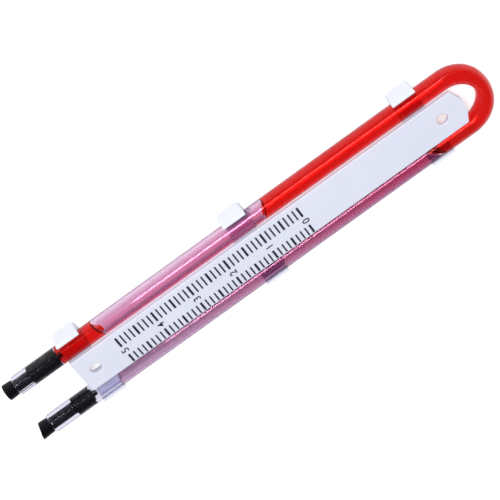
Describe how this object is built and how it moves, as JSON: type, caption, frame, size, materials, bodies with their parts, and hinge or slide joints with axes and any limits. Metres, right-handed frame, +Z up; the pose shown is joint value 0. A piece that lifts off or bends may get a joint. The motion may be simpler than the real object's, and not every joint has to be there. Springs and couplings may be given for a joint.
{
  "type": "u-tube manometer",
  "caption": "Clear U-tube manometer with red liquid, snapped into a white moulded scale plate with clips and closed by rubber plugs.",
  "frame": {"origin": "middle of the whole length, between the two legs, on the surface that the clips' feet rest on", "axes": "lies on its back: +X along the legs towards the bend, +Y across towards the right leg, +Z up towards the reader"},
  "size_m": [0.1639, 0.0266, 0.0075],
  "materials": {
    "white_plastic": "satin moulded",
    "clear_acrylic": "clear polished",
    "red_liquid": "wet",
    "black_rubber": "smooth moulded"
  },
  "bodies": {
    "scale": {"scale_plate": "white_plastic"},
    "tube": {"u_tube": "clear_acrylic", "liquid_column": "red_liquid", "liquid_slug": "red_liquid"},
    "plug_right": {"plug_right": "black_rubber"},
    "plug_left": {"plug_left": "black_rubber"}
  },
  "joints": [
    {"name": "zero_slide", "type": "slide", "parent": "scale", "child": "tube", "axis": [1, 0, 0], "range_m": [-0.0015, 0.0127]},
    {"name": "plug_right_pull", "type": "slide", "parent": "tube", "child": "plug_right", "axis": [-1, 0, 0], "range_m": [0, 0.022]},
    {"name": "plug_left_pull", "type": "slide", "parent": "tube", "child": "plug_left", "axis": [-1, 0, 0], "range_m": [0, 0.022]}
  ]
}
